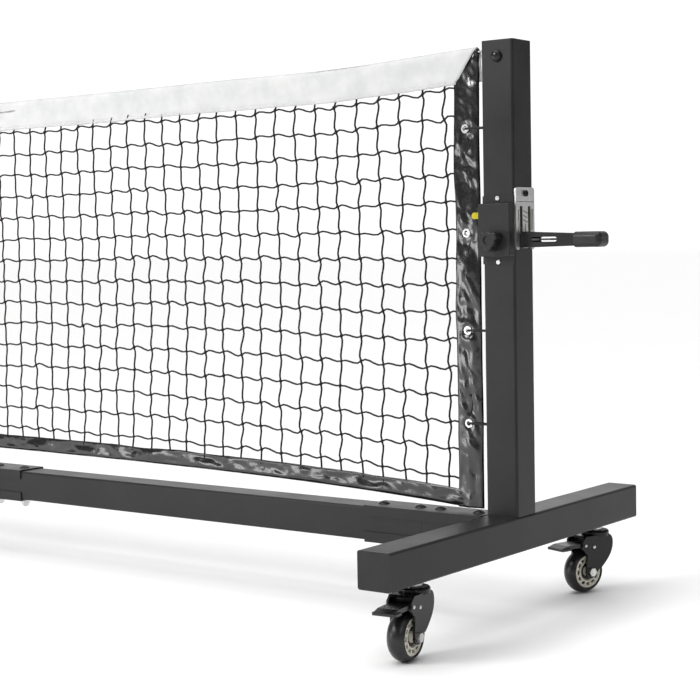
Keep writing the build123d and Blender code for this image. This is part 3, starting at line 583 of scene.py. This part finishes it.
def make_side_band(side, name, node):
    """Black vinyl sleeve down one end; profile 0 is its outer fold, -1 and 1 its inner edges."""
    profile = [p / 16 for p in range(-16, 17)]
    low, high = BOTTOM_END, TOP_END - 0.004

    def place(z, p):
        inward = abs(p)
        front = -1 if p < 0 else 1
        mitre = min(1.0, (TOP_END - z) / HEADBAND)
        width = APEX_INSET + (BAND_WIDTH + 0.003 - APEX_INSET) * mitre
        width += 0.0022 * rumple(z, 0.0, 9.0, 3.0 + side)
        edge = 0.0015 * rumple(z, 2.0, 7.0, 1.0 + side)
        x = NET_X + side * (NET_HALF - edge - width * inward)
        bulge = 0.0016 + 0.0014 * math.sin(math.pi * inward) if inward else 0.0
        y = front * bulge
        loose = math.sin(math.pi * inward) ** 0.6 if 0 < inward < 1 else 0
        slant = z * 0.75 + 0.5 * (x - NET_X) * side
        folds = 0.0046 * rumple(x * 1.5, slant, 24.0, 50.0 + front + side)
        crease = abs(rumple(x * 1.1 + 0.3 * z, slant * 0.8, 64.0, 57.0 + front))
        folds += 0.0030 * (0.35 - min(crease, 0.7))
        for gx, gz in GROMMETS:
            near = (Vector((x, 0, z)) - Vector((gx, 0, gz))).length
            folds *= min(1.0, max(0.0, (near - 0.006) / 0.010))
            if near < 0.010:
                y = front * 0.0018
        return Vector((x, y + folds * loose * 0.8, z + 0.0008 * rumple(x, z, 30.0, 9.0)))

    folded_sheet(
        name, "black_vinyl", steps(low, high, 0.003), profile, place,
        0.0006, [node], near_grommet,
    )


def make_bottom_band():
    """Black vinyl folded over the net's lowest cord; profile 0 is the lower fold."""
    profile = [p / 9 for p in range(-9, 10)]
    ends = NET_HALF - BAND_WIDTH * 0.6

    def place(x, p):
        up = abs(p)
        front = -1 if p < 0 else 1
        wave = 0.002 * rumple(x, 0.0, 11.0, 71.0)
        z = bottom_line(x) + 0.001 + (BOTTOM_BAND + wave) * up
        bulge = 0.0032 * math.sqrt(max(0.0, 1 - (1 - min(1, up * 4)) ** 2)) if up else 0.0
        bulge -= 0.0016 * up
        loose = math.sin(math.pi * up) ** 0.6 if 0 < up < 1 else 0
        folds = 0.0036 * rumple(x * 0.6 + 0.4 * z, z * 1.3, 24.0, 80.0 + front)
        folds += 0.0026 * (0.3 - min(0.6, abs(rumple(x * 0.8, z * 1.2, 60.0, 87.0 + front))))
        return Vector((x, front * bulge + folds * loose, z))

    folded_sheet(
        "bottom_band", "black_vinyl", steps(NET_X - ends, NET_X + ends, 0.006), profile, place,
        0.0006, ["net_bottom_band"],
    )


STITCH_HALF, STITCH_PITCH, STITCH_LIFT = 0.0021, 0.0075, 0.0006


def make_stitches(name, slot, spots, along):
    """Small raised stitches, each a stretched bead lying along the seam."""
    verts, faces = [], []
    for spot in spots:
        half = along(spot) * STITCH_HALF
        lift = Vector((0, STITCH_LIFT, 0))
        side = half.cross(Vector((0, 1, 0))).normalized() * 0.0005
        first = len(verts)
        verts += [spot - half, spot + side, spot + half, spot - side, spot - lift, spot + lift]
        for top in (4, 5):
            ring = (0, 1, 2, 3) if top == 5 else (3, 2, 1, 0)
            for k in range(4):
                faces.append((first + ring[k], first + ring[(k + 1) % 4], first + top))
    seam = add_mesh(name, verts, faces, slot)
    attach(seam, "frame")


def seam_spots(low, high, pitch, at):
    count = int((high - low) / pitch)
    return [at(low + (high - low) * i / count) for i in range(count + 1)]


def stitch_bands():
    ends = NET_HALF - BAND_WIDTH
    spots = []
    for y in (-0.0042, 0.0042):
        spots += seam_spots(
            NET_X - ends, NET_X + ends, STITCH_PITCH,
            lambda x, y=y: Vector((x, y, top_line(x) - HEADBAND + 0.006)),
        )
    make_stitches("headband_stitches", "white_tape", spots, lambda spot: Vector((1, 0, 0)))


stitch_bands()
make_headband()
make_side_band(1, "side_band_right", "net_side_band_right")
make_side_band(-1, "side_band_left", "net_side_band_left")
make_bottom_band()

# ------------------------------------------------------------------ small hardware
def disc_ring(verts, faces, centre, axis, profile, count=28):
    """Solid of revolution about an axis: profile rows are (radius, height along the axis)."""
    axis = axis.normalized()
    across = axis.orthogonal().normalized()
    aside = axis.cross(across)
    first = len(verts)
    for radius, height in profile:
        for k in range(count):
            turn = 2 * math.pi * k / count
            verts.append(
                centre + axis * height + (across * math.cos(turn) + aside * math.sin(turn)) * radius
            )
    rows = len(profile)
    for i in range(rows - 1):
        for k in range(count):
            a, b = first + i * count + k, first + i * count + (k + 1) % count
            faces.append((a, b, b + count, a + count))
    if profile[0] != profile[-1]:
        faces.append(tuple(first + k for k in range(count))[::-1])
        faces.append(tuple(first + (rows - 1) * count + k for k in range(count)))


def block(verts, faces, centre, x_dir, y_dir, z_dir, size, bevel):
    """Box with bevelled upper rim: size is (x, y, z), z_dir points out of the surface."""
    first = len(verts)
    for height, shrink in ((0, 0), (size[2] - bevel, 0), (size[2], bevel)):
        for sx, sy in ((-1, -1), (1, -1), (1, 1), (-1, 1)):
            verts.append(
                centre + x_dir * sx * (size[0] / 2 - shrink) + y_dir * sy * (size[1] / 2 - shrink)
                + z_dir * height
            )
    for row in range(2):
        for k in range(4):
            a, b = first + row * 4 + k, first + row * 4 + (k + 1) % 4
            faces.append((a, b, b + 4, a + 4))
    faces.append((first + 8, first + 9, first + 10, first + 11))
    faces.append((first + 3, first + 2, first + 1, first))


JOINTS = {joint["name"]: joint for joint in frame["record"]["behaviour"]["joints"]}
LEG_OUTER, RECESS_FLOOR, HUB_FACE = 0.021, 0.009, 0.009
RIVET = [(0.0030, -0.0002), (0.0030, 0.0006), (0.0026, 0.0012), (0.0016, 0.0016), (0.0004, 0.0017)]


def dress_caster(number):
    brake, roll = JOINTS[f"caster_{number}_brake"], JOINTS[f"caster_{number}_roll"]
    axis = Vector(roll["axis"]).normalized()
    hub = Vector(roll["pos_m"])
    ahead = Vector((0, 0, 1)).cross(axis)
    verts, faces = [], []
    pin = Vector(brake["pos_m"])
    for side in (-1, 1):
        for shift, drop in ((0.0, 0.0), (0.019, 0.004)):
            spot = pin + ahead * shift - Vector((0, 0, drop)) + axis * side * LEG_OUTER
            disc_ring(verts, faces, spot, axis * side, RIVET, 20)
    rivets = add_mesh(f"caster_rivets_{number}", verts, faces, "zinc_hardware")
    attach(rivets, f"caster_{number}_fork")
    verts, faces = [], []
    for side in (-1, 1):
        shield = [(0.0094, 0), (0.0094, 0.0006), (0.0102, 0.0010), (0.0128, 0.0010), (0.0140, 0.0004),
                  (0.0140, 0)]
        disc_ring(verts, faces, hub + axis * side * HUB_FACE, axis * side, shield, 40)
        # Twelve dark tiles just above each side's rim recess floors: painted shade in the recesses.
        for k in range(12):
            turn = Matrix.Rotation(math.radians(30 * k), 3, axis)
            out = turn @ ahead
            tangent = axis.cross(out)
            spot = hub + out * 0.0214 + axis * side * RECESS_FLOOR
            block(verts, faces, spot, out * side, tangent, axis * side, (0.0048, 0.0073, 0.0008), 0.0003)
    # One mesh for the dark hub shields and the dark tiles of painted recess shade.
    dark = add_mesh(f"caster_hub_cover_and_recess_shade_{number}", verts, faces, "black_plastic", smooth=False)
    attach(dark, f"caster_{number}_wheel")


for caster in range(1, 5):
    dress_caster(caster)


def mark_plate():
    """Plain etched strokes on the winch's plate, in place of its printed sign."""
    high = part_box("ratchet_frame")[1]
    outward, across, up = Vector((1, 0, 0)), Vector((0, 1, 0)), Vector((0, 0, 1))
    verts, faces = [], []
    base = Vector((high.x, 0, 0))

    def stroke(y0, z0, y1, z1, width=0.0011):
        start, end = base + across * y0 + up * z0, base + across * y1 + up * z1
        along = end - start
        long = along.length
        along.normalize()
        block(verts, faces, (start + end) / 2, along, outward.cross(along), outward,
              (long, width, 0.00025), 0.0001)

    stroke(-0.024, high.z - 0.0225, 0.024, high.z - 0.0225, 0.0008)
    points = ((-0.020, 0.654), (-0.0200, 0.640), (-0.0185, 0.627), (-0.0235, 0.616))
    for (y0, z0), (y1, z1) in zip(points[:-1], points[1:]):
        stroke(y0, z0, y1, z1)
    for z in (0.652, 0.645, 0.638):
        stroke(-0.0065, z, 0.0065, z - 0.004)
    stroke(0.0, 0.632, 0.0, 0.612)
    stroke(-0.0045, 0.618, 0.0, 0.612)
    stroke(0.0045, 0.618, 0.0, 0.612)
    for y in (0.0185, 0.0225):
        stroke(y, 0.655, y, 0.622)
    marks = add_mesh("winch_plate_marks", verts, faces, "black_hardware", smooth=False)
    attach(marks, "frame")


mark_plate()


def dome_post_bolts():
    """Round heads of the bolts through the tops of the posts."""
    low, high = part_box("post_top_bolts")
    verts, faces = [], []
    dome = [(0.0093, 0), (0.0092, 0.0022), (0.0085, 0.0042), (0.0069, 0.0059), (0.0046, 0.0070),
            (0.0022, 0.0075), (0.0003, 0.0076)]
    for post_x in ((post_low.x + post_high.x) / 2, (post_left_low.x + post_left_high.x) / 2):
        spot = Vector((post_x, post_low.y, (low.z + high.z) / 2))
        disc_ring(verts, faces, spot, Vector((0, -1, 0)), dome, 36)
    domes = add_mesh("post_bolt_domes", verts, faces, "black_hardware")
    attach(domes, "frame")


dome_post_bolts()
